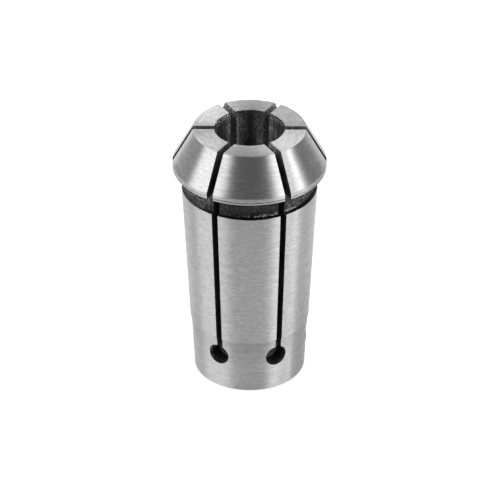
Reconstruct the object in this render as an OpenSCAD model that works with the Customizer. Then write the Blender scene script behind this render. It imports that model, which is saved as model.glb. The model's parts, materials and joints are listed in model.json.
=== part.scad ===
// Spring collet that grips a round tool shank.
// It is one hardened steel turning. From the nose down it has a coned head that the clamping
// nut presses on, a groove that the nut's ring hooks into to pull the collet out, a ground
// conical body, and a relieved foot. Saw cuts from the nose split it into jaws, and each cut
// ends in a round relief hole in the foot, where the jaws bend.
// The foot's end face lies on z = 0 with its centre at the origin, and the nose points up.

/* [Overall] */
// Length from the foot's end face to the nose face
overall_l = 43; // [41:0.5:50]

/* [Grip bore] */
// Diameter of the bore that grips the shank
grip_d = 10; // [8:0.1:11.5]
// Length of the grip bore, measured down from the nose face
grip_l = 28; // [22:0.5:30]
// Width of the lead-in cone at the mouth of the grip bore
lead_in = 0.45; // [0.1:0.05:0.8]

/* [Rear bore] */
// Diameter of the clearance bore behind the grip
rear_d = 13; // [12:0.1:14]
// Angle from the axis of the cone that joins the rear bore to the grip bore
rear_cone_angle = 45; // [30:1:60]
// Width of the lead-in cone at the foot's end face
rear_lead_in = 0.5; // [0.1:0.05:0.9]

/* [Head] */
// Diameter of the flat nose face
nose_d = 17.4; // [15:0.1:19]
// Largest diameter of the head
head_d = 23.8; // [22.5:0.1:26]
// Height of the nose cone
cone_l = 5.7; // [4:0.1:6.5]
// Height of the plain rim under the nose cone
rim_w = 1.05; // [0.8:0.05:1.8]
// Radius of the rounded lower edge of the rim
rim_round = 0.2; // [0.1:0.05:0.25]
// Height of the line that is turned round the rim, above the rim's lower edge
rim_line_up = 0.4; // [0.35:0.05:0.6]
// Width of the line round the rim
rim_line_w = 0.2; // [0.1:0.05:0.3]
// Depth of the line round the rim
rim_line_depth = 0.1; // [0.05:0.05:0.2]
// Width of the edge breaks on the nose face and at the foot of the nose cone
edge_break = 0.1; // [0.05:0.01:0.2]

/* [Groove] */
// Width of the extraction groove between rim and body
groove_w = 3.4; // [2:0.1:4]
// Diameter of the floor of the groove
groove_d = 19.8; // [18:0.1:20.4]
// Radius of the two corners at the floor of the groove
groove_corner_r = 0.3; // [0.1:0.05:0.5]

/* [Body] */
// Diameter of the ground body at its upper end, under the groove
body_d = 21.1; // [20.8:0.1:22]
// Taper of the body and the foot, as one in this many on the diameter
taper = 10; // [9:0.5:30]

/* [Foot] */
// Height of the foot, up to the lower edge of the ground body
foot_l = 9.5; // [9:0.1:12]
// Depth by which the foot stands back from the ground body, so that only the body seats
foot_relief = 0.15; // [0.1:0.05:0.4]
// Height of the small cone that joins the foot to the body
relief_l = 0.35; // [0.2:0.05:0.8]
// Width of the chamfer on the foot's outer edge
foot_chamfer = 0.2; // [0.1:0.05:0.4]

/* [Slots] */
// Number of saw cuts, and so of jaws
slots = 6; // [3:1:8]
// Width of the saw blade that made the cuts
slot_w = 0.95; // [0.5:0.05:1.2]
// How much wider a cut stands at the nose, because the jaws are set to spring open
jaw_spring = 0.13; // [0:0.01:0.4]
// Diameter of the relief hole that ends each cut
relief_d = 3.5; // [2.4:0.1:4]
// Height of the relief holes' axes above the foot's end face
relief_z = 6.3; // [3.5:0.1:6.8]
// Angle by which the ring of relief holes is drilled off the saw cuts
relief_clocking = -2; // [-3:0.5:3]

/* [Hidden] */
$fn = 96;
// How far a cut runs past the face that it opens
past = 1;
// Straight steps in which a rounded corner of the outline is drawn
corner_steps = 5;
// Radius, inside both bores, at which each cut through the wall begins
cut_start = grip_d / 4;

// Heights of the outline's corners, taken down from the nose face
cone_z = overall_l - cone_l;
rim_z = cone_z - rim_w;
body_top_z = rim_z - groove_w;
// Height where the grip bore ends, and where the cone below it meets the rear bore
grip_z = overall_l - grip_l;
rear_z = grip_z - (rear_d - grip_d) / 2 / tan(rear_cone_angle);
// How much the radius of the nose cone closes in for each millimetre of height
cone_slope = (head_d - nose_d) / 2 / cone_l;

// Radius of the conical body, or of its continuation, at a height
function body_r(z) = body_d / 2 - (body_top_z - z) / 2 / taper;

// Radius of the foot at a height
function foot_r(z) = body_r(z) - foot_relief;

// Points on an arc about a centre, from one angle to another
function arc(centre, r, from, to) = [
    for (i = [0:corner_steps])
        let (a = from + (to - from) * i / corner_steps)
        centre + r * [cos(a), sin(a)]
];

// Outside of the foot and the ground body, from the bottom up
function body_points() = [
    [foot_r(0) - foot_chamfer, 0],
    [foot_r(foot_chamfer), foot_chamfer],
    [foot_r(foot_l - relief_l), foot_l - relief_l],
    [body_r(foot_l), foot_l],
    [body_r(body_top_z), body_top_z]
];

// Floor of the groove with its two rounded corners, from the bottom up
function groove_points() =
    let (x = groove_d / 2 + groove_corner_r)
    concat(
        arc([x, body_top_z + groove_corner_r], groove_corner_r, 270, 180),
        arc([x, rim_z - groove_corner_r], groove_corner_r, 180, 90)
    );

// Outside of the head, from the bottom up: the rounded edge, the rim with its line, the cone
function head_points() =
    let (r = head_d / 2, line_z = rim_z + rim_line_up)
    concat(
        arc([r - rim_round, rim_z + rim_round], rim_round, 270, 360),
        [
            [r, line_z - rim_line_w / 2],
            [r - rim_line_depth, line_z],
            [r, line_z + rim_line_w / 2],
            [r, cone_z - edge_break],
            [r - edge_break * cone_slope, cone_z + edge_break],
            [nose_d / 2 + edge_break * cone_slope, overall_l - edge_break],
            [nose_d / 2 - edge_break, overall_l]
        ]
    );

// Inside of the two bores, from the top down
function bore_points() = [
    [grip_d / 2 + lead_in, overall_l],
    [grip_d / 2, overall_l - lead_in],
    [grip_d / 2, grip_z],
    [rear_d / 2, rear_z],
    [rear_d / 2, rear_lead_in],
    [rear_d / 2 + rear_lead_in, 0]
];

// The collet as it leaves the lathe: one wall, turned outside and bored inside
module turned_blank() {
    rotate_extrude()
        polygon(concat(body_points(), groove_points(), head_points(), bore_points()));
}

// One saw cut along +X, from the height of the relief holes up through the nose
module saw_cut() {
    cut_l = overall_l - relief_z;
    foot_half = slot_w / 2;
    nose_half = (slot_w + jaw_spring * (1 + past / cut_l)) / 2;
    translate([cut_start, 0, 0])
        rotate([90, 0, 90])
            linear_extrude(height = head_d / 2 + past - cut_start)
                polygon([
                    [-foot_half, relief_z],
                    [foot_half, relief_z],
                    [nose_half, overall_l + past],
                    [-nose_half, overall_l + past]
                ]);
}

// One relief hole along +X
module relief_hole() {
    translate([cut_start, 0, relief_z])
        rotate([0, 90, 0])
            cylinder(d = relief_d, h = head_d / 2 + past - cut_start);
}

// The blank sawn into jaws from the nose
module sawn_blank() {
    difference() {
        turned_blank();
        for (i = [0:slots - 1])
            rotate([0, 0, i * 360 / slots]) saw_cut();
    }
}

// The finished collet, with a relief hole at the end of each saw cut
module collet() {
    color([0.74, 0.74, 0.75])
        difference() {
            sawn_blank();
            for (i = [0:slots - 1])
                rotate([0, 0, i * 360 / slots + relief_clocking]) relief_hole();
        }
}

collet();
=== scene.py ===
import json
import math
from collections import namedtuple

import bmesh
import bpy
from mathutils import Matrix, Vector


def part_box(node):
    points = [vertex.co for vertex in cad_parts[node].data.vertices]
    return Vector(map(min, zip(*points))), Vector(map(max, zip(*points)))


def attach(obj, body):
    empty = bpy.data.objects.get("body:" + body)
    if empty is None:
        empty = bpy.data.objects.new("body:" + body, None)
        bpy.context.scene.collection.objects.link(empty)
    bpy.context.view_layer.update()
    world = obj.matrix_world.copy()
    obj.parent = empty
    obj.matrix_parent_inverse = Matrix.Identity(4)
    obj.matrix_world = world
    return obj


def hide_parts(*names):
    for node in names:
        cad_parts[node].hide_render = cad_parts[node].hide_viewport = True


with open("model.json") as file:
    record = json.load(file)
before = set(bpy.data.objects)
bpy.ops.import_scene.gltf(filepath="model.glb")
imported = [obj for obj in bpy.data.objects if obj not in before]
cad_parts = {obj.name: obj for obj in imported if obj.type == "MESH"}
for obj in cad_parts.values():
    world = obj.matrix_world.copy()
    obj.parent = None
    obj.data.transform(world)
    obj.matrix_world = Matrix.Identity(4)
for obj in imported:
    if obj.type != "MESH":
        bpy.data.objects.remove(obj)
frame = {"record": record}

bl_info = {
    "name": "Spring collet",
    "version": (1, 0, 0),
    "blender": (4, 5, 0),
    "location": "3D View > Sidebar > Collet",
    "description": "Models a spring collet in ground, turned and scaled steel, on a white stage",
    "category": "Object",
}

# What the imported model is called, and the sizes that it gives
NODE = "collet"
BODY = "root"
LOW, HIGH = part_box(NODE)
MOUNTS = {mount["name"]: mount for mount in frame["record"]["mounts"]}
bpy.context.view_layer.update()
MM = 0.001


def mount_diameter(name):
    """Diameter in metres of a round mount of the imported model."""
    return 2 * MOUNTS[name]["dims"]["r_mm"] * MM


class ColletSizes(bpy.types.PropertyGroup):
    """Sizes of the collet. Its length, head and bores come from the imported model."""

    length: bpy.props.FloatProperty(
        name="Length", description="From the foot's end face to the nose face",
        default=HIGH.z, unit="LENGTH", subtype="DISTANCE")
    head_d: bpy.props.FloatProperty(
        name="Head diameter", description="Across the rim under the nose cone",
        default=HIGH.y - LOW.y, unit="LENGTH", subtype="DISTANCE")
    grip_d: bpy.props.FloatProperty(
        name="Grip bore", description="Diameter of the bore that grips the shank",
        default=mount_diameter("shank_grip"), unit="LENGTH", subtype="DISTANCE")
    grip_l: bpy.props.FloatProperty(
        name="Grip length", description="From the nose face down to the end of the grip bore",
        default=28 * MM, unit="LENGTH", subtype="DISTANCE")
    lead_in: bpy.props.FloatProperty(
        name="Lead-in", description="Width of the chamfer at the mouth of the grip bore",
        default=0.45 * MM, unit="LENGTH", subtype="DISTANCE")
    rear_d: bpy.props.FloatProperty(
        name="Rear bore", description="Diameter of the clearance bore behind the grip",
        default=mount_diameter("rear_bore"), unit="LENGTH", subtype="DISTANCE")
    rear_lead_in: bpy.props.FloatProperty(
        name="Rear lead-in", description="Width of the chamfer at the foot's end of the rear bore",
        default=0.5 * MM, unit="LENGTH", subtype="DISTANCE")
    nose_d: bpy.props.FloatProperty(
        name="Nose diameter", description="Across the flat nose face",
        default=17.4 * MM, unit="LENGTH", subtype="DISTANCE")
    cone_l: bpy.props.FloatProperty(
        name="Cone height", description="Height of the nose cone",
        default=5.7 * MM, unit="LENGTH", subtype="DISTANCE")
    rim_w: bpy.props.FloatProperty(
        name="Rim height", description="Height of the plain rim under the cone",
        default=1.05 * MM, unit="LENGTH", subtype="DISTANCE")
    rim_round: bpy.props.FloatProperty(
        name="Rim rounding", description="Radius of the rounded lower edge of the rim",
        default=0.2 * MM, unit="LENGTH", subtype="DISTANCE")
    rim_line_up: bpy.props.FloatProperty(
        name="Line height", description="Height of the turned line above the rim's lower edge",
        default=0.4 * MM, unit="LENGTH", subtype="DISTANCE")
    rim_line_w: bpy.props.FloatProperty(
        name="Line width", description="Width of the line that is turned round the rim",
        default=0.2 * MM, unit="LENGTH", subtype="DISTANCE")
    rim_line_depth: bpy.props.FloatProperty(
        name="Line depth", description="Depth of the line round the rim",
        default=0.1 * MM, unit="LENGTH", subtype="DISTANCE")
    groove_w: bpy.props.FloatProperty(
        name="Groove width", description="Height of the extraction groove",
        default=3.4 * MM, unit="LENGTH", subtype="DISTANCE")
    groove_d: bpy.props.FloatProperty(
        name="Groove floor", description="Diameter of the floor of the groove",
        default=19.8 * MM, unit="LENGTH", subtype="DISTANCE")
    body_d: bpy.props.FloatProperty(
        name="Body diameter", description="Across the ground body under the groove",
        default=21.1 * MM, unit="LENGTH", subtype="DISTANCE")
    taper: bpy.props.FloatProperty(
        name="Taper", description="The body narrows by one in this many on the diameter", default=10)
    foot_l: bpy.props.FloatProperty(
        name="Foot height", description="From the end face up to the ground body",
        default=9.5 * MM, unit="LENGTH", subtype="DISTANCE")
    foot_relief: bpy.props.FloatProperty(
        name="Foot relief", description="How far the foot stands back from the ground body",
        default=0.15 * MM, unit="LENGTH", subtype="DISTANCE")
    relief_l: bpy.props.FloatProperty(
        name="Relief height", description="Height of the small cone between foot and body",
        default=0.35 * MM, unit="LENGTH", subtype="DISTANCE")
    foot_chamfer: bpy.props.FloatProperty(
        name="Foot chamfer", description="Chamfer on the foot's outer edge",
        default=0.2 * MM, unit="LENGTH", subtype="DISTANCE")
    slots: bpy.props.IntProperty(
        name="Saw cuts", description="Number of saw cuts, and so of jaws", default=6, min=3, max=8)
    slot_w: bpy.props.FloatProperty(
        name="Saw width", description="Width of the saw blade",
        default=0.95 * MM, unit="LENGTH", subtype="DISTANCE")
    jaw_spring: bpy.props.FloatProperty(
        name="Jaw spring", description="How much wider a cut stands at the nose",
        default=0.13 * MM, unit="LENGTH", subtype="DISTANCE")
    relief_d: bpy.props.FloatProperty(
        name="Relief hole", description="Diameter of the hole that ends each cut",
        default=3.5 * MM, unit="LENGTH", subtype="DISTANCE")
    relief_z: bpy.props.FloatProperty(
        name="Relief hole height", description="Height of the relief holes' axes",
        default=6.3 * MM, unit="LENGTH", subtype="DISTANCE")
    relief_clocking: bpy.props.FloatProperty(
        name="Relief clocking", description="Angle of the relief holes off the saw cuts",
        default=math.radians(-2), unit="ROTATION", subtype="ANGLE")
    edge_break: bpy.props.FloatProperty(
        name="Edge break", description="How much a file has taken off the sharp edges",
        default=0.06 * MM, unit="LENGTH", subtype="DISTANCE")
    steps: bpy.props.IntProperty(
        name="Steps per jaw", description="Faces around each jaw", default=59, min=12, max=120)


class ColletFinish(bpy.types.PropertyGroup):
    """Colours of the collet's finishes."""

    steel: bpy.props.FloatVectorProperty(
        name="Steel", description="Colour of the bare steel", size=3,
        default=(0.58, 0.58, 0.58), min=0, max=1, subtype="COLOR")
    scale: bpy.props.FloatVectorProperty(
        name="Scale", description="Colour of the heat-treatment scale", size=3,
        default=(0.018, 0.018, 0.018), min=0, max=1, subtype="COLOR")


class StageSettings(bpy.types.PropertyGroup):
    """Place of the camera and light levels of the stage."""

    camera_distance: bpy.props.FloatProperty(
        name="Camera distance", description="From the camera to the point that it aims at",
        default=492.1 * MM, unit="LENGTH", subtype="DISTANCE")
    camera_azimuth: bpy.props.FloatProperty(
        name="Camera turn", description="Angle of the camera round from the middle of the front jaw",
        default=math.radians(0.5), unit="ROTATION", subtype="ANGLE")
    camera_height: bpy.props.FloatProperty(
        name="Camera angle", description="Angle of the camera above the floor",
        default=0.5665, unit="ROTATION", subtype="ANGLE")
    aim_z: bpy.props.FloatProperty(
        name="Aim height", description="Height on the collet's axis that the camera aims at",
        default=20.82 * MM, unit="LENGTH", subtype="DISTANCE")
    lens: bpy.props.FloatProperty(
        name="Lens", description="Focal length in millimetres on a 36 mm sensor", default=226)
    shift: bpy.props.FloatProperty(
        name="Lens shift", description="Sideways shift as a share of the picture's width",
        default=0.0009)
    softbox: bpy.props.FloatProperty(
        name="Softboxes", description="Brightness of all the softboxes together", default=1.0)
    surround: bpy.props.FloatProperty(
        name="Surround", description="Brightness of the studio around the stage", default=0.01)


# Shape of the collet. Here and below, s holds the sizes, f the finish and g the stage settings.

def turned_heights(s):
    """Heights of the nose cone's foot, of the rim's lower edge and of the groove's lower edge."""
    cone_z = s.length - s.cone_l
    rim_z = cone_z - s.rim_w
    return cone_z, rim_z, rim_z - s.groove_w


def sector_and_step(s):
    """Angle of one jaw with its cut, and angle of one face of the evenly spun wall."""
    sector = math.tau / s.slots
    return sector, sector / (s.steps + 1)


def wall_outline(s):
    """Corners of the wall's section as (radius, height, rounding), once round from the foot."""
    cone_z, rim_z, top_z = turned_heights(s)
    grip_z = s.length - s.grip_l
    rear_z = grip_z - (s.rear_d - s.grip_d) / 2
    line_z = rim_z + s.rim_line_up
    soft = s.edge_break

    def body_r(z):
        return s.body_d / 2 - (top_z - z) / 2 / s.taper

    def foot_r(z):
        return body_r(z) - s.foot_relief

    return [
        (foot_r(0) - s.foot_chamfer, 0, 0.5 * soft),
        (foot_r(s.foot_chamfer), s.foot_chamfer, 0.5 * soft),
        (foot_r(s.foot_l - s.relief_l), s.foot_l - s.relief_l, 0.5 * soft),
        (body_r(s.foot_l), s.foot_l, 0.5 * soft),
        (body_r(top_z), top_z, soft),
        (s.groove_d / 2, top_z, 4 * soft),
        (s.groove_d / 2, rim_z, 4 * soft),
        (s.head_d / 2, rim_z, s.rim_round),
        (s.head_d / 2, line_z - s.rim_line_w / 2, 0.3 * soft),
        (s.head_d / 2 - s.rim_line_depth, line_z, 0.3 * soft),
        (s.head_d / 2, line_z + s.rim_line_w / 2, 0.3 * soft),
        (s.head_d / 2, cone_z, 1.5 * soft),
        (s.nose_d / 2, s.length, 1.5 * soft),
        (s.grip_d / 2 + s.lead_in, s.length, 0.5 * soft),
        (s.grip_d / 2, s.length - s.lead_in, soft),
        (s.grip_d / 2, grip_z, 0.5 * soft),
        (s.rear_d / 2, rear_z, 0.5 * soft),
        (s.rear_d / 2, s.rear_lead_in, 0.5 * soft),
        (s.rear_d / 2 + s.rear_lead_in, 0, 0.5 * soft),
    ]


def draw_outline(bm, s, angle):
    """Draws the wall's section in bm, at an angle about the axis, with every corner rounded."""
    corners = wall_outline(s)
    verts = [bm.verts.new((r, 0, z)) for r, z, _ in corners]
    for a, b in zip(verts, verts[1:] + verts[:1]):
        bm.edges.new((a, b))
    for vert, (_, _, rounding) in zip(verts, corners):
        bmesh.ops.bevel(
            bm, geom=[vert], offset=rounding, offset_type="OFFSET", affect="VERTICES",
            segments=3, profile=0.5, material=-1, clamp_overlap=True)
    bmesh.ops.bisect_plane(
        bm, geom=bm.verts[:] + bm.edges[:], dist=1e-7,
        plane_co=(0, 0, s.relief_z), plane_no=(0, 0, 1))
    bmesh.ops.rotate(bm, verts=bm.verts[:], cent=(0, 0, 0), matrix=Matrix.Rotation(angle, 3, "Z"))


def saw_half(s, z):
    """Half the width of a saw cut at a height."""
    share = (z - s.relief_z) / (s.length - s.relief_z)
    return (s.slot_w + s.jaw_spring * max(share, 0)) / 2


def slide_to_saw_cuts(bm, s):
    """Slides the evenly spun vertices round the axis until the outer two of each jaw meet its cuts."""
    sector, step = sector_and_step(s)
    for vert in bm.verts:
        radius = vert.co.xy.length
        angle = math.atan2(vert.co.y, vert.co.x)
        index = math.floor((angle - step / 2 + 1e-6) / sector)
        share = (angle - index * sector - step / 2) / (sector - step)
        half = math.asin(saw_half(s, vert.co.z) / radius)
        turned = index * sector + half + (sector - 2 * half) * share
        vert.co.x = radius * math.cos(turned)
        vert.co.y = radius * math.sin(turned)


def open_saw_cuts(bm, s):
    """Takes the skin off each saw cut and closes its two walls and its floor. Returns the walls."""
    sector, step = sector_and_step(s)

    def in_saw_cut(face):
        centre = face.calc_center_median()
        angle = math.atan2(centre.y, centre.x)
        off = angle - round(angle / sector) * sector
        return abs(off) < step / 4 and centre.z > s.relief_z

    skin = [face for face in bm.faces if in_saw_cut(face)]
    bmesh.ops.delete(bm, geom=skin, context="FACES")
    slide_to_saw_cuts(bm, s)
    walls = []
    rims = [edge for edge in bm.edges if edge.is_boundary]
    for cut in range(s.slots):
        turn = Matrix.Rotation(-cut * sector, 3, "Z")

        def local(vert):
            return turn @ vert.co

        near = [
            e for e in rims if all(local(v).x > 0 and abs(local(v).y) < s.slot_w for v in e.verts)]
        across = [e for e in near if local(e.verts[0]).y * local(e.verts[1]).y < 0]
        sills = []
        for side in (-1, 1):
            ends = [v for e in across for v in e.verts if local(v).y * side > 0]
            sill = bm.edges.new(ends)
            sills.append(sill)
            chain = [e for e in near if all(local(v).y * side > 0 for v in e.verts)]
            walls += bmesh.ops.edgeloop_fill(bm, edges=chain + [sill])["faces"]
        bmesh.ops.edgeloop_fill(bm, edges=across + sills)
    return walls


# Finishes of the surface, in the order of the mesh's material slots
FINISHES = ["ground", "cone", "faced", "scaled", "bored", "sawn", "drilled", "foot"]


def relief_drill(s):
    """The drills of the relief holes: one short round bar through the foot's wall at each cut."""
    bm = bmesh.new()
    start = 0.7 * s.rear_d / 2
    end = s.head_d / 2
    for cut in range(s.slots):
        angle = cut * math.tau / s.slots + s.relief_clocking
        place = (
            Matrix.Rotation(angle, 4, "Z")
            @ Matrix.Translation(((start + end) / 2, 0, s.relief_z))
            @ Matrix.Rotation(math.pi / 2, 4, "Y"))
        bmesh.ops.create_cone(
            bm, cap_ends=True, segments=96, radius1=s.relief_d / 2, radius2=s.relief_d / 2,
            depth=end - start, matrix=place)
    for face in bm.faces:
        face.material_index = FINISHES.index("drilled")
    mesh = bpy.data.meshes.new("relief_drill")
    bm.to_mesh(mesh)
    bm.free()
    drill = bpy.data.objects.new("relief_drill", mesh)
    bpy.context.scene.collection.objects.link(drill)
    return drill


def finish_of(s, centre, normal):
    """Which finish a face of the turned surface has, by its centre and its normal."""
    radius = centre.xy.length
    outward = normal.xy.dot(centre.xy.normalized())
    cone_z, rim_z, top_z = turned_heights(s)
    if centre.z > s.length - 0.3 * s.edge_break and normal.z > 0.9:
        return "faced"
    if radius < s.rear_d / 2 + s.rear_lead_in and outward < 0.3 and centre.z > 0:
        return "bored"
    in_groove = top_z - 1e-6 < centre.z < rim_z + 1e-6
    if in_groove and (outward < 0.9 or radius < s.body_d / 2 - 0.3 * MM):
        return "scaled"
    line = abs(centre.z - rim_z - s.rim_line_up) < s.rim_line_w / 2
    if line and radius < s.head_d / 2 - 0.01 * MM:
        return "scaled"
    if centre.z > cone_z + 0.2 * MM:
        return "cone"
    if centre.z < s.foot_l - s.relief_l / 2:
        return "foot"
    return "ground"


def set_finishes(s, faces):
    """Gives faces of the turned surface the material slots of their finishes."""
    for face in faces:
        face.material_index = FINISHES.index(finish_of(s, face.calc_center_median(), face.normal))


def build_collet(s):
    """The collet as one closed mesh, turned and sawn, still without its relief holes."""
    bm = bmesh.new()
    _, step = sector_and_step(s)
    draw_outline(bm, s, step / 2)
    bmesh.ops.spin(
        bm, geom=bm.verts[:] + bm.edges[:], cent=(0, 0, 0), axis=(0, 0, 1),
        angle=math.tau, steps=(s.steps + 1) * s.slots, use_merge=True)
    bmesh.ops.recalc_face_normals(bm, faces=bm.faces[:])
    walls = open_saw_cuts(bm, s)
    bmesh.ops.recalc_face_normals(bm, faces=bm.faces[:])
    set_finishes(s, bm.faces)
    for face in walls:
        face.material_index = FINISHES.index("sawn")
    above = s.relief_z + s.relief_d / 4
    edges = dict.fromkeys(
        e for face in walls for e in face.edges if max(v.co.z for v in e.verts) > above)
    broken = bmesh.ops.bevel(
        bm, geom=list(edges), offset=0.7 * s.edge_break, offset_type="OFFSET", affect="EDGES",
        segments=2, profile=0.5, material=-1, clamp_overlap=True)
    set_finishes(s, broken["faces"])
    for face in bm.faces:
        face.smooth = True
    mesh = bpy.data.meshes.new("collet_steel_body")
    bm.to_mesh(mesh)
    bm.free()
    return mesh


# Shader building blocks

def add_node(tree, kind, settings=None, inputs=None):
    """Adds a node, sets its settings, and sets or links its inputs."""
    made = tree.nodes.new(kind)
    for key, value in (settings or {}).items():
        setattr(made, key, value)
    for key, value in (inputs or {}).items():
        if isinstance(value, bpy.types.NodeSocket):
            tree.links.new(value, made.inputs[key])
        else:
            made.inputs[key].default_value = value
    return made


def math_node(tree, operation, *values):
    """A Math node on numbers or sockets."""
    return add_node(
        tree, "ShaderNodeMath", {"operation": operation}, dict(enumerate(values))).outputs[0]


def combine(tree, operation, first, others):
    """Chains one operation over numbers or sockets."""
    for value in others:
        first = math_node(tree, operation, first, value)
    return first


def product(tree, first, *others):
    """Numbers or sockets multiplied together."""
    return combine(tree, "MULTIPLY", first, others)


def total(tree, first, *others):
    """Numbers or sockets added together."""
    return combine(tree, "ADD", first, others)


def largest(tree, first, *others):
    """The largest of some numbers or sockets."""
    return combine(tree, "MAXIMUM", first, others)


def absolute(tree, value):
    """A value without its sign."""
    return math_node(tree, "ABSOLUTE", value)


def spread(tree, value, low, high, to_low=0.0, to_high=1.0):
    """Maps a range of a value onto another one, and holds it at both ends."""
    return add_node(
        tree, "ShaderNodeMapRange", None,
        {"Value": value, "From Min": low, "From Max": high, "To Min": to_low, "To Max": to_high},
    ).outputs["Result"]


def distance_to(tree, point, target):
    """Distance of a place from a fixed point."""
    return add_node(
        tree, "ShaderNodeVectorMath", {"operation": "DISTANCE"}, {0: point, 1: target}).outputs["Value"]


def scaled_vector(tree, vector, factor):
    """A vector or a colour times a number."""
    return add_node(
        tree, "ShaderNodeVectorMath", {"operation": "SCALE"}, {0: vector, "Scale": factor}).outputs[0]


def noise(tree, point, fineness, detail, roughness):
    """Plain noise over a place."""
    return add_node(
        tree, "ShaderNodeTexNoise", None,
        {"Vector": point, "Scale": fineness, "Detail": detail, "Roughness": roughness}).outputs["Fac"]


def new_material(name):
    """A node material with a Principled shader. Returns the material, its tree and the shader."""
    material = bpy.data.materials.new(name)
    material.use_nodes = True
    tree = material.node_tree
    return material, tree, tree.nodes["Principled BSDF"]


def bump(tree, shader, height, depth):
    """Sets the shader's normal from a height in parts of a depth in millimetres."""
    normal = add_node(
        tree, "ShaderNodeBump", None, {"Height": height, "Distance": depth * MM, "Strength": 1.0})
    tree.links.new(normal.outputs["Normal"], shader.inputs["Normal"])


# A place on the object in millimetres: the point, its parts, the point's part across the axis, and
# the distance from the axis. Left is -X, right is +X and the front is -Y.
Place = namedtuple("Place", "point x y z across radius")


def place_in_mm(tree):
    """The place that is being shaded, as sockets of a tree."""
    metres = add_node(tree, "ShaderNodeTexCoord").outputs["Object"]
    point = scaled_vector(tree, metres, 1000.0)
    axes = add_node(tree, "ShaderNodeSeparateXYZ", None, {0: point}).outputs
    across = add_node(tree, "ShaderNodeCombineXYZ", None, {"X": axes["X"], "Y": axes["Y"]}).outputs[0]
    radius = add_node(tree, "ShaderNodeVectorMath", {"operation": "LENGTH"}, {0: across}).outputs["Value"]
    return Place(point, axes["X"], axes["Y"], axes["Z"], across, radius)


# Effects that several finishes share. Each is a node group that reads its own place on the collet.

def effect_group(name, outputs, inputs):
    """An empty node group with number inputs and outputs. Returns its tree and its inputs."""
    tree = bpy.data.node_groups.new(name, "ShaderNodeTree")
    for socket, value in inputs.items():
        made = tree.interface.new_socket(socket, in_out="INPUT", socket_type="NodeSocketFloat")
        made.default_value = value
    for socket in outputs:
        tree.interface.new_socket(socket, in_out="OUTPUT", socket_type="NodeSocketFloat")
    return tree, add_node(tree, "NodeGroupInput").outputs


def use_group(tree, group, **inputs):
    """A node that shows a group in a tree."""
    return add_node(tree, "ShaderNodeGroup", {"node_tree": group}, inputs)


def lathe_noise(tree, around, along, seed=0.0):
    """Noise drawn out round the axis, as a lathe tool or a grinding wheel leaves it.

    Around says how fine it is round the axis, and along how fine for each millimetre along it."""
    at = place_in_mm(tree)
    turn = add_node(tree, "ShaderNodeVectorMath", {"operation": "NORMALIZE"}, {0: at.across}).outputs[0]
    ring = scaled_vector(tree, turn, around)
    path = product(tree, math_node(tree, "SUBTRACT", at.z, at.radius), along)
    rise = add_node(tree, "ShaderNodeCombineXYZ", None, {"X": seed, "Z": path}).outputs[0]
    spot = add_node(tree, "ShaderNodeVectorMath", None, {0: ring, 1: rise}).outputs[0]
    return noise(tree, spot, 1.0, 2.0, 0.6)


def tool_marks():
    """Fine lines and wider feed rings round the axis: a level for the colour, and a height."""
    tree, given = effect_group("tool_marks", ("Level", "Height"), {"Amount": 1.0, "Feed": 0.0})
    fine = lathe_noise(tree, 15.0, 9.0)
    long = lathe_noise(tree, 5.0, 3.0, seed=7.0)
    lines = math_node(tree, "SUBTRACT", total(tree, fine, product(tree, long, 0.6)), 0.8)
    turned = math_node(tree, "SUBTRACT", lathe_noise(tree, 1.5, 3.5, seed=11.0), 0.5)
    level = total(
        tree, product(tree, lines, given["Amount"]), 1.0, product(tree, turned, given["Feed"]))
    rings = lathe_noise(tree, 2.0, 12.0, seed=3.0)
    add_node(tree, "NodeGroupOutput", None, {"Level": level, "Height": rings})
    return tree


def scale_crust():
    """Dark scale with a rough grain in patches: a level for the colour, and a height."""
    tree, given = effect_group("scale_crust", ("Level", "Height"), {"Contrast": 1.0})
    at = place_in_mm(tree)
    grain = noise(tree, at.point, 3.2, 3.0, 0.65)
    patch = noise(tree, at.point, 0.55, 1.0, 0.5)
    rough = math_node(tree, "POWER", spread(tree, grain, 0.3, 0.75), 2.2)
    where = spread(tree, patch, 0.35, 0.65, 0.3, 1.7)
    level = total(tree, product(tree, rough, where, given["Contrast"]), 0.55)
    add_node(tree, "NodeGroupOutput", None, {"Level": level, "Height": grain})
    return tree


def bright_grain():
    """Small bare spots in the scale, as a mask. Share says how much of the surface they take."""
    tree, given = effect_group("bright_grain", ("Mask",), {"Share": 0.3, "Fineness": 2.6})
    grain = noise(tree, place_in_mm(tree).point, given["Fineness"], 2.0, 0.7)
    limit = math_node(tree, "SUBTRACT", 0.78, product(tree, given["Share"], 0.5))
    mask = spread(tree, math_node(tree, "SUBTRACT", grain, limit), 0.0, 0.1)
    add_node(tree, "NodeGroupOutput", None, {"Mask": mask})
    return tree


# Tints, mostly painted light and shade, and shares of bare spots, by the place on the collet.
# Heights and radii are in millimetres and start from the collet's sizes.

def faced_painted_light(tree, s):
    """Painted light and shade on the nose face: the jaws on the left are painted a little brighter, and the
    one at the back right duller.
    """
    at = place_in_mm(tree)
    # Painted highlight on the left jaws, and painted shade on the jaw at the back right.
    left = spread(tree, at.x, -7.0, -3.5, 1.12, 1.0)
    back_right = product(tree, spread(tree, at.x, 2.5, 4.5), spread(tree, at.y, 2.0, 4.0, 0.0, 0.13))
    return math_node(tree, "SUBTRACT", left, back_right)


def foot_painted_shade(tree, s):
    """Painted shade on the turned foot just under the step, most of all in the middle."""
    at = place_in_mm(tree)
    step = s.foot_l / MM
    # Painted shade that falls under the step onto the foot.
    painted_shade_under_step = spread(tree, at.z, step - 6.0, step - 0.2)
    depth = spread(tree, absolute(tree, at.x), 2.0, 5.0, 0.24, 0.14)
    return math_node(tree, "SUBTRACT", 1.05, product(tree, painted_shade_under_step, depth))


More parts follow.
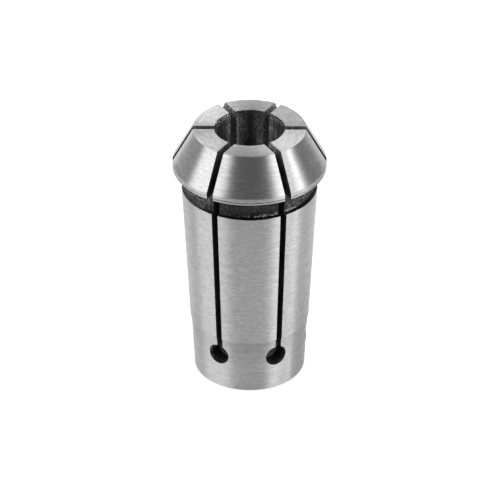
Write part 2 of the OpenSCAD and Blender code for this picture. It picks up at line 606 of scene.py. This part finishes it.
def groove_crust_and_painted_shade(tree, s):
    """The groove's wall with painted shade darkest at its foot and on the nearly black shoulder, crust to
    the left, painted light on both flanks, and the line on the rim.
    """
    at = place_in_mm(tree)
    _, rim_z, top_z = (height / MM for height in turned_heights(s))
    # Painted shade: the wall gets darker down towards the shoulder, and the shoulder stays nearly black.
    wall = spread(tree, at.z, top_z + 0.05, top_z + 1.35, 0.28, 1.3)
    left = spread(tree, at.x, -7.0, -5.8, 1.3, 0.0)
    # Painted light on both flanks of the groove.
    flanks = spread(tree, absolute(tree, at.x), 3.0, 6.0, 1.0, 2.1)
    line = spread(tree, at.z, rim_z + 0.15, rim_z + 0.25, 1.0, 7.0)
    return product(tree, largest(tree, wall, left), flanks, line)


def groove_share(tree, s):
    """Grains along the foot of the groove's wall, denser to the right, and crust on both flanks."""
    at = place_in_mm(tree)
    top_z = turned_heights(s)[2] / MM
    above_shoulder = spread(tree, at.z, top_z + 0.05, top_z + 0.15)
    strip = product(
        tree, above_shoulder, spread(tree, at.z, top_z + 0.4, top_z + 0.75, 1.0, 0.0),
        spread(tree, at.x, -1.0, 5.0, 0.4, 0.72), spread(tree, at.x, 7.0, 8.0, 1.0, 0.6))
    left = spread(tree, at.x, -7.0, -5.8, 1.0, 0.0)
    flanks = spread(tree, absolute(tree, at.x), 4.5, 6.0, 0.0, 0.42)
    return largest(tree, strip, product(tree, flanks, largest(tree, above_shoulder, left)))


def bore_streaks_and_painted_light(tree, s):
    """Streaks along the bore, with painted shade in the middle and towards the sides, painted highlights
    beside the cuts, brighter deeper down and darker on the mouth's chamfer.
    """
    at = place_in_mm(tree)
    nose = s.length / MM
    chamfer = nose - s.lead_in / MM
    streaks = spread(tree, lathe_noise(tree, 7.0, 0.12, seed=2.0), 0.3, 0.7, 2.5, 12.0)
    side = absolute(tree, math_node(tree, "SUBTRACT", at.x, 0.1))
    # Painted shade down the middle of the bore.
    middle = spread(tree, side, 0.2, 1.3, 0.35, 1.3)
    # Painted highlights on strips beside the back cuts, and on one strip at the left that is stronger
    # deeper down.
    painted_highlight_beside_cuts = spread(tree, side, 2.7, 3.1, 0.0, 0.6)
    painted_highlight_left_strip = product(
        tree, spread(tree, at.x, -2.5, -2.2), spread(tree, at.x, -1.95, -1.6, 1.5, 0.0),
        spread(tree, at.z, nose - 5.5, nose - 2.0, 2.2, 0.9))
    # Painted shade towards the sides of the bore.
    flanks = spread(tree, side, 3.7, 4.3, 1.0, 0.28)
    mouth = spread(tree, at.z, chamfer - 0.05, chamfer + 0.05, 1.0, 0.15)
    deep = spread(tree, at.z, nose - 7.5, nose - 1.0, 2.0, 0.55)
    return product(tree, streaks, total(tree, middle, painted_highlight_beside_cuts, painted_highlight_left_strip), flanks, mouth, deep)


def bore_share(tree, s):
    """Grains on the chamfer at the mouth, most of them at the back to the left."""
    at = place_in_mm(tree)
    chamfer = (s.length - s.lead_in) / MM
    mouth = spread(tree, at.z, chamfer - 0.45, chamfer - 0.15)
    back = spread(tree, at.y, -0.5, 1.5)
    left = spread(tree, at.x, -2.8, -1.8, 0.45, 0.25)
    right = spread(tree, at.x, 2.4, 3.2, 0.0, 0.15)
    return product(tree, mouth, back, total(tree, left, right))


def sawn_painted_shade_and_light(tree, s):
    """Saw cuts with painted shade, nearly black deep down and at the back, and painted light that makes
    them greyer near the nose face, most of all in front.
    """
    at = place_in_mm(tree)
    nose = s.length / MM
    # Painted shade: the cuts at the back are much darker than those in front.
    deep = spread(tree, at.y, -1.0, 1.0, 2.0, 0.2)
    # Painted light rising towards the nose face, and a painted highlight along its edge.
    rise = spread(tree, at.z, nose - 6.0, nose - 0.2, 0.0, 4.0)
    edge = product(
        tree, spread(tree, at.z, nose - 1.7, nose - 0.2, 0.0, 5.5), spread(tree, at.y, -1.0, 1.0, 1.0, 0.6))
    return total(tree, deep, rise, edge)


def sawn_grain_and_painted_light(tree, s):
    """Bare grains on the saw cuts' walls, more near the nose face as painted light, and ragged ones beside
    the bore that stand partly for burrs and partly for painted edge highlights.
    """
    at = place_in_mm(tree)
    nose = s.length / MM
    bore = s.grip_d / 2 / MM
    front = spread(tree, at.y, -1.0, 1.0, 1.0, 0.0)
    back = math_node(tree, "SUBTRACT", 1.0, front)
    behind = product(tree, back, spread(tree, at.radius, bore + 0.2, bore + 3.4, 0.52, 0.85), 0.8)
    ahead = product(
        tree, front, spread(tree, at.x, -1.0, 1.0, 0.3, 1.0),
        spread(tree, at.radius, bore + 1.8, bore + 3.2, 0.6, 0.3))
    # Painted light: more bare grains near the nose face, where light gets into the cuts.
    near_nose = product(
        tree, spread(tree, at.z, nose - 2.6, nose - 0.9), spread(tree, absolute(tree, at.y), 1.0, 3.0),
        total(tree, behind, ahead))
    # Burrs and painted edge highlights along the cuts' edges at the bore.
    inner = spread(tree, at.radius, bore + 0.1, bore + 0.4, 0.4, 0.0)
    ragged = product(
        tree, spread(tree, at.radius, bore + 0.1, bore + 1.4, 0.56, 0.2),
        spread(tree, at.x, 0.0, 1.0), spread(tree, at.y, 0.0, 1.0))
    return largest(tree, near_nose, inner, ragged, 0.1)


def hole_painted_light(tree, s):
    """Painted light in the relief holes: greyer near the outside, and a bright painted patch in the one in
    front to the left.
    """
    at = place_in_mm(tree)
    bore = s.rear_d / 2 / MM
    axis_z = s.relief_z / MM
    # Painted light towards the mouths of the holes.
    outside = spread(tree, at.radius, bore + 0.7, bore + 2.3, 0.6, 3.0)
    # Painted light patch, up to fourteen times brighter, on the upper wall of the hole in front to the
    # left.
    painted_patch_front_left = product(
        tree, spread(tree, at.radius, bore - 0.1, bore + 0.7, 0.0, 14.0),
        spread(tree, at.z, axis_z - 0.4, axis_z + 0.2),
        spread(tree, at.x, -1.5, -1.0, 1.0, 0.0), spread(tree, at.y, -1.0, 1.0, 1.0, 0.0))
    return total(tree, outside, painted_patch_front_left)


def hole_share(tree, s):
    """A few bare grains in the relief holes, near the outside."""
    bore = s.rear_d / 2 / MM
    return spread(tree, place_in_mm(tree).radius, bore + 1.1, bore + 2.1, 0.1, 0.45)


# Finishes

def steel_material(s, f, groups, name, roughness, anisotropic, amount, depth, tint=None, feed=0.0):
    """Bare steel whose tool marks run round the axis. Tint is a function that paints light and shade on it
    by place.
    """
    material, tree, shader = new_material(name)
    shader.inputs["Metallic"].default_value = 1
    shader.inputs["Roughness"].default_value = roughness
    shader.inputs["Anisotropic"].default_value = anisotropic
    shader.inputs["Anisotropic Rotation"].default_value = 0.25
    tangent = add_node(tree, "ShaderNodeTangent", {"direction_type": "RADIAL", "axis": "Z"})
    tree.links.new(tangent.outputs[0], shader.inputs["Tangent"])
    marks = use_group(tree, groups["tool_marks"], Amount=amount, Feed=feed)
    level = marks.outputs["Level"]
    if tint:
        level = product(tree, level, tint(tree, s))
    tree.links.new(scaled_vector(tree, tuple(f.steel), level), shader.inputs["Base Color"])
    bump(tree, shader, marks.outputs["Height"], depth)
    return material


def scaled_material(s, f, groups, name, tint, contrast, share, bare, shine, fineness):
    """Dark scale with bare spots. Tint and share are functions that shade and spot it by place, partly with
    painted light and shade.
    """
    material, tree, shader = new_material(name)
    shader.inputs["Roughness"].default_value = 0.5
    shader.inputs["Specular IOR Level"].default_value = shine
    crust = use_group(tree, groups["scale_crust"], Contrast=contrast)
    grain = use_group(tree, groups["bright_grain"], Share=share(tree, s), Fineness=fineness)
    level = product(tree, crust.outputs["Level"], tint(tree, s))
    colour = add_node(
        tree, "ShaderNodeMixRGB", None,
        {"Fac": grain.outputs["Mask"], "Color1": scaled_vector(tree, tuple(f.scale), level),
         "Color2": (bare, bare, bare, 1)})
    tree.links.new(colour.outputs["Color"], shader.inputs["Base Color"])
    bump(tree, shader, crust.outputs["Height"], 0.03)
    return material


def collet_materials(s, f):
    """One material for each finish, in the order of FINISHES."""
    groups = {tree.name: tree for tree in (tool_marks(), scale_crust(), bright_grain())}

    def steel(name, **look):
        return steel_material(s, f, groups, name, **look)

    def scaled(name, **look):
        return scaled_material(s, f, groups, name, **look)

    made = {
        "ground": steel(
            "ground_steel", roughness=0.46, anisotropic=0.93, amount=0.85, depth=0.0003),
        "cone": steel(
            "ground_cone", roughness=0.38, anisotropic=0.85, amount=1.0, depth=0.0003),
        "faced": steel(
            "faced_steel", roughness=0.4, anisotropic=0.93, amount=1.15, depth=0.0007, tint=faced_painted_light),
        "foot": steel(
            "turned_foot", roughness=0.45, anisotropic=0.94, amount=0.65, depth=0.0003, tint=foot_painted_shade,
            feed=0.4),
        "scaled": scaled(
            "scaled_groove", tint=groove_crust_and_painted_shade, contrast=3.0, share=groove_share, bare=0.5, shine=0.15,
            fineness=4.2),
        "bored": scaled(
            "scaled_bore", tint=bore_streaks_and_painted_light, contrast=2.4, share=bore_share, bare=1.0, shine=0.35,
            fineness=4.5),
        "sawn": scaled(
            "sawn_wall", tint=sawn_painted_shade_and_light, contrast=1.6, share=sawn_grain_and_painted_light, bare=0.8, shine=0.2,
            fineness=3.4),
        "drilled": scaled(
            "drilled_wall", tint=hole_painted_light, contrast=1.4, share=hole_share, bare=0.3, shine=0.3,
            fineness=2.6),
    }
    return [made[name] for name in FINISHES]


class COLLET_OT_model(bpy.types.Operator):
    """Models the collet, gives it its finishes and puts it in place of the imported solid"""

    bl_idname = "collet.model"
    bl_label = "Model the collet"

    def execute(self, context):
        s = context.scene.collet_sizes
        mesh = build_collet(s)
        for material in collet_materials(s, context.scene.collet_finish):
            mesh.materials.append(material)
        piece = bpy.data.objects.new("collet_turned", mesh)
        context.scene.collection.objects.link(piece)
        drill = relief_drill(s)
        for material in mesh.materials:
            drill.data.materials.append(material)
        cut = piece.modifiers.new("relief_holes", "BOOLEAN")
        cut.operation = "DIFFERENCE"
        cut.solver = "EXACT"
        cut.object = drill
        context.view_layer.objects.active = piece
        bpy.ops.object.modifier_apply(modifier=cut.name)
        bpy.data.objects.remove(drill)
        piece.data.set_sharp_from_angle(angle=math.radians(50))
        even = piece.modifiers.new("even_shading", "WEIGHTED_NORMAL")
        even.keep_sharp = True
        bpy.ops.object.modifier_apply(modifier=even.name)
        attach(piece, BODY)
        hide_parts(NODE)
        return {"FINISHED"}


# Stage

# Radius of the floor, distance of the softboxes and the point that they face, in metres
FLOOR_RADIUS = 0.38
BOX_DISTANCE = 0.5
LIT_POINT = (0, 0, 0.03)


def direction(azimuth, elevation):
    """Unit vector from the collet, by degrees round from its front and above the floor."""
    a = math.radians(azimuth)
    e = math.radians(elevation)
    return Vector((math.sin(a) * math.cos(e), -math.cos(a) * math.cos(e), math.sin(e)))


def face_towards(obj, target):
    """Turns a lamp or the camera so that it looks at a point."""
    obj.rotation_euler = (Vector(target) - obj.location).to_track_quat("-Z", "Y").to_euler()


def softbox(name, near, far, low, high, level):
    """An area lamp that spans two azimuths and two elevations as the collet sees it, in degrees.

    Level is how bright its face is, where 1 is white."""
    width = 2 * BOX_DISTANCE * math.tan(math.radians(abs(far - near) / 2))
    height = 2 * BOX_DISTANCE * math.tan(math.radians((high - low) / 2))
    azimuth = (near + far) / 2
    elevation = (low + high) / 2
    lamp = bpy.data.lights.new(name, "AREA")
    lamp.shape = "RECTANGLE"
    lamp.size = width
    lamp.size_y = height
    lamp.energy = level * math.pi * width * height
    box = bpy.data.objects.new(name, lamp)
    box.location = direction(azimuth, elevation) * BOX_DISTANCE
    face_towards(box, LIT_POINT)
    bpy.context.scene.collection.objects.link(box)


def lay_floor():
    """Lays a round floor under the collet's foot."""
    bm = bmesh.new()
    bmesh.ops.create_circle(bm, cap_ends=True, segments=128, radius=FLOOR_RADIUS)
    mesh = bpy.data.meshes.new("floor")
    bm.to_mesh(mesh)
    bm.free()
    mesh.materials.append(floor_material())
    disc = bpy.data.objects.new("floor", mesh)
    bpy.context.scene.collection.objects.link(disc)


def floor_material():
    """A pale floor that the camera sees as white, with the collet's shadow on it.

    The steel's mirror rays see a glow on it with painted shadow and painted light: darker near the collet,
    to the right of its foot and to the left, brighter at the sides further back, and fading out at the
    back."""
    material, tree, shader = new_material("white_floor")
    shader.inputs["Base Color"].default_value = (0.8, 0.8, 0.8, 1)
    shader.inputs["Roughness"].default_value = 1
    shader.inputs["Specular IOR Level"].default_value = 0
    shader.inputs["Emission Color"].default_value = (1, 1, 1, 1)
    at = place_in_mm(tree)
    # Painted shadow of the collet and painted light across the floor, in a glow that only the steel's
    # mirror rays see.
    shadow = spread(tree, at.radius, 20.0, 32.0, 0.29, 0.555)
    end = spread(tree, distance_to(tree, at.point, (0, 25, 0)), 60.0, 160.0, 1.0, 0.0)
    painted_shadow_right = spread(tree, distance_to(tree, at.point, (20, 12, 0)), 10.0, 30.0, 0.35, 1.0)
    from_left = spread(tree, at.x, -40.0, -5.0, 0.54, 1.04)
    sides = product(
        tree, spread(tree, absolute(tree, at.x), 15.0, 40.0), spread(tree, at.radius, 58.0, 90.0, 1.0, 0.0),
        spread(tree, at.y, -30.0, 30.0, -0.28, 0.7))
    far_left = product(
        tree, spread(tree, at.x, -40.0, -15.0, 1.0, 0.0), spread(tree, at.y, 0.0, 30.0, -0.2, 0.3))
    ahead = product(
        tree, spread(tree, at.y, -40.0, -15.0, 1.0, 0.0), spread(tree, at.x, 5.0, 32.0, 0.11, -0.07))
    painted_floor_glow = product(
        tree, shadow, end, painted_shadow_right, from_left,
        total(tree, sides, 1.0), total(tree, far_left, 1.0), total(tree, ahead, 1.0))
    path = add_node(tree, "ShaderNodeLightPath").outputs
    mirrored = product(tree, path["Is Glossy Ray"], painted_floor_glow)
    # The lamps light the floor too, so this much more makes it white.
    seen = product(tree, path["Is Camera Ray"], 0.6)
    # No light comes from under the foot, so the bore stays dark.
    open_floor = math_node(tree, "GREATER_THAN", at.radius, 8.5)
    strength = product(tree, total(tree, seen, mirrored), open_floor)
    tree.links.new(strength, shader.inputs["Emission Strength"])
    return material


def light_world(surround):
    """White where the camera looks, and a dark studio for everything else."""
    world = bpy.data.worlds.new("studio")
    world.use_nodes = True
    tree = world.node_tree
    back = tree.nodes["Background"]
    path = add_node(tree, "ShaderNodeLightPath")
    level = add_node(
        tree, "ShaderNodeMapRange", None,
        {"Value": path.outputs["Is Camera Ray"], "To Min": surround, "To Max": 1.0})
    back.inputs["Color"].default_value = (1, 1, 1, 1)
    tree.links.new(level.outputs["Result"], back.inputs["Strength"])
    bpy.context.scene.world = world


# Each softbox with its two azimuths and two elevations in degrees, and its level. The gap between the
# edges on the left and on the right is the dark front of the studio.
SOFTBOXES = (
    ("left_edge_low", -33, -43, -6, 27, 1.25),
    ("left_edge_high", -37, -46, 27, 45, 1.77),
    ("left_front_low", -43, -62, -6, 27, 2.10),
    ("left_front_high", -46, -62, 27, 62, 1.12),
    ("left_side_low", -62, -92, -6, 27, 2.40),
    ("left_side_high", -62, -92, 27, 62, 0.85),
    ("left_rear_high", -95, -118, 27, 62, 0.25),
    ("left_third_low", -120, -138, -6, 27, 0.12),
    ("left_third_high", -120, -138, 27, 62, 1.95),
    ("left_back_low", -138, -165, -6, 20, 1.76),
    ("left_back_high", -138, -160, 27, 62, 0.89),
    ("back_left_low", -165, -180, -6, 27, 2.47),
    ("back_left_high", -160, -180, 27, 62, 0.22),
    ("back_right_low", 165, 180, -6, 27, 1.73),
    ("back_right_high", 165, 180, 27, 62, 0.28),
    ("right_back_low", 133, 165, -6, 20, 0.86),
    ("right_back_high", 138, 165, 30, 62, 1.92),
    ("right_third_high", 120, 138, 27, 62, 0.30),
    ("right_rear_high", 96, 120, 40, 62, 0.42),
    ("right_side_high", 75, 92, 20, 62, 0.98),
    ("right_side_low", 75, 83, -6, 20, 5.50),
    ("right_gap_mid", 68, 75, -6, 20, 2.75),
    ("right_gap_low", 61, 68, -6, 20, 0.74),
    ("right_gap_high", 61, 75, 20, 62, 0.35),
    ("right_front_mid", 52, 61, -6, 27, 3.00),
    ("right_front_low", 43, 52, -6, 27, 4.75),
    ("right_front_high", 45, 61, 27, 62, 0.37),
    ("right_edge_low", 36, 43, -6, 27, 2.55),
    ("right_edge_high", 38, 45, 27, 62, 0.49),
    ("top", -26, 26, 64, 116, 0.45),
)


class COLLET_OT_stage(bpy.types.Operator):
    """Sets up the white floor, the studio light and the camera"""

    bl_idname = "collet.stage"
    bl_label = "Set the stage"

    def execute(self, context):
        g = context.scene.collet_stage
        lay_floor()
        for name, near, far, low, high, level in SOFTBOXES:
            softbox(name, near, far, low, high, level * g.softbox)
        light_world(g.surround)
        camera = bpy.data.objects.new("camera", bpy.data.cameras.new("camera"))
        camera.data.lens = g.lens
        camera.data.sensor_width = 36
        camera.data.shift_x = g.shift
        camera.data.clip_start = 0.01
        azimuth = math.degrees(g.camera_azimuth)
        height = math.degrees(g.camera_height)
        camera.location = Vector((0, 0, g.aim_z)) + g.camera_distance * direction(azimuth, height)
        face_towards(camera, (0, 0, g.aim_z))
        context.scene.collection.objects.link(camera)
        context.scene.camera = camera
        context.scene.view_settings.view_transform = "Standard"
        return {"FINISHED"}


class COLLET_PT_panel(bpy.types.Panel):
    """Lists the collet's sizes and steps in the sidebar"""

    bl_label = "Collet"
    bl_idname = "COLLET_PT_panel"
    bl_space_type = "VIEW_3D"
    bl_region_type = "UI"
    bl_category = "Collet"

    def draw(self, context):
        layout = self.layout
        for group in (context.scene.collet_sizes, context.scene.collet_finish, context.scene.collet_stage):
            column = layout.column(align=True)
            for name in group.__annotations__:
                column.prop(group, name)
        layout.operator(COLLET_OT_model.bl_idname)
        layout.operator(COLLET_OT_stage.bl_idname)


CLASSES = (
    ColletSizes,
    ColletFinish,
    StageSettings,
    COLLET_OT_model,
    COLLET_OT_stage,
    COLLET_PT_panel,
)


def register():
    """Registers the classes and hangs the sizes, finish and stage settings on the scene."""
    for cls in CLASSES:
        bpy.utils.register_class(cls)
    bpy.types.Scene.collet_sizes = bpy.props.PointerProperty(type=ColletSizes)
    bpy.types.Scene.collet_finish = bpy.props.PointerProperty(type=ColletFinish)
    bpy.types.Scene.collet_stage = bpy.props.PointerProperty(type=StageSettings)


def unregister():
    """Takes away what register has added."""
    del bpy.types.Scene.collet_stage
    del bpy.types.Scene.collet_finish
    del bpy.types.Scene.collet_sizes
    for cls in reversed(CLASSES):
        bpy.utils.unregister_class(cls)


def main():
    """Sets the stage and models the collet."""
    register()
    bpy.ops.collet.stage()
    bpy.ops.collet.model()


if __name__ == "__main__":
    main()
